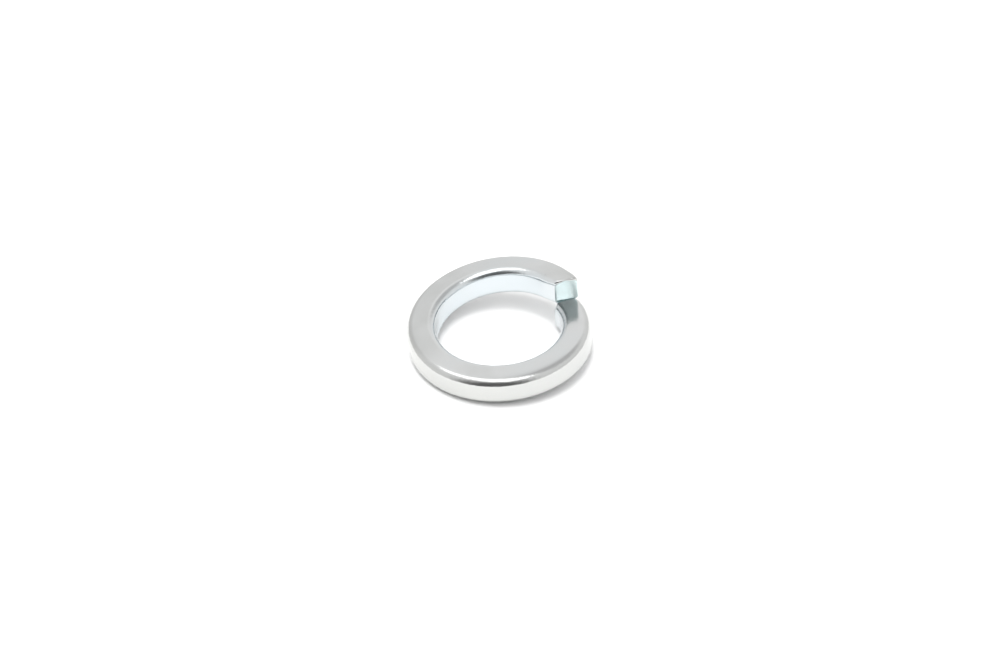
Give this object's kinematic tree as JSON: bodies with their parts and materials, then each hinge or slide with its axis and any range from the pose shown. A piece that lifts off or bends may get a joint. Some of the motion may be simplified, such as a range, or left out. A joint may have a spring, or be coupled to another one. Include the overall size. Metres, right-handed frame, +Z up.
{
  "type": "spring lock washer",
  "caption": "Split helical spring lock washer coiled from square zinc-plated wire with plain cut ends; it goes under a screw head and keeps the joint tight under vibration.",
  "frame": {"origin": "centre of the bounding box's bottom face: the ground that the washer lies on", "axes": "+Z up from the ground, -Y towards the viewer; the washer lies tipped as it comes to rest on its low end, so its bolt axis leans about 6 degrees towards -X"},
  "size_m": [0.016, 0.0158, 0.0052],
  "materials": {
    "zinc_plate": "bright zinc plate with a faint blue passivate, semi-gloss, over spring steel"
  },
  "bodies": {
    "root": {"spring_washer": "zinc_plate"}
  },
  "joints": []
}
